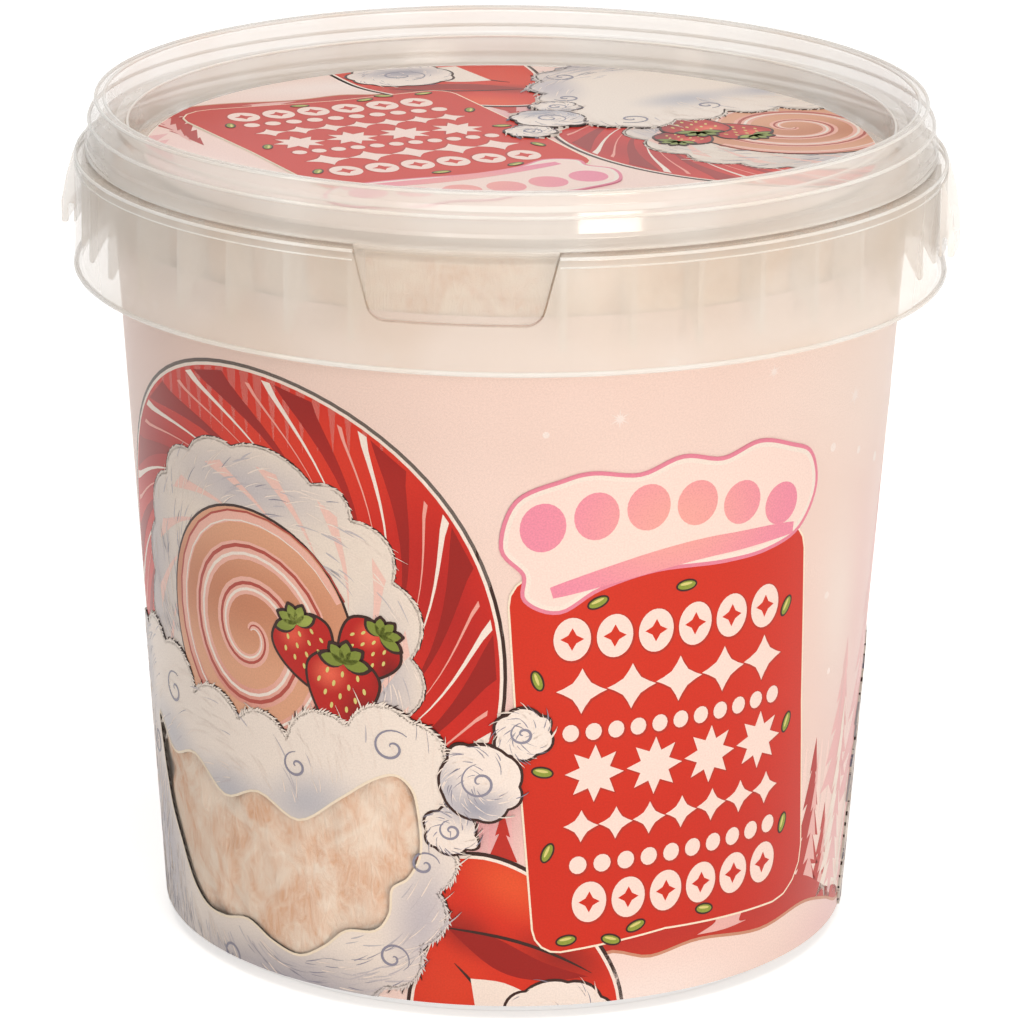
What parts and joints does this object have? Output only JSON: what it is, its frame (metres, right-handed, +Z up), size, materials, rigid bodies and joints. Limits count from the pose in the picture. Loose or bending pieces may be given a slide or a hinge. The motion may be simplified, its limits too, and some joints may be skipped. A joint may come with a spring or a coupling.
{
  "type": "tub of cotton candy",
  "caption": "Round lidded plastic tub with ribbed collar, tear tab, carrying lugs, printed film and recessed printed lid, full of cotton candy",
  "frame": {"origin": "centre of the standing ring, on the surface that the tub stands on", "axes": "+Z up along the tub's axis, tear tab towards -Y, carrying lugs on +X and -X"},
  "size_m": [0.1374, 0.1335, 0.1299],
  "materials": {
    "tub_plastic": "milky translucent injection-moulded polypropylene, satin gloss",
    "lid_plastic": "milky translucent injection-moulded polypropylene, glossy",
    "tab_plastic": "milky translucent injection-moulded polypropylene, thin tongue",
    "spun_sugar": "matte peach-pink spun sugar, packed fibres",
    "wrap_film": "in-mould printed film, pale pink with red and white fields, one clear window",
    "disc_film": "in-mould printed film disc, red, pink and cream fields"
  },
  "bodies": {
    "root": {"tub": "tub_plastic", "lid": "lid_plastic", "tamper_tab": "tab_plastic", "cotton_candy": "spun_sugar", "wrap_label": "wrap_film", "lid_label": "disc_film"}
  },
  "joints": []
}
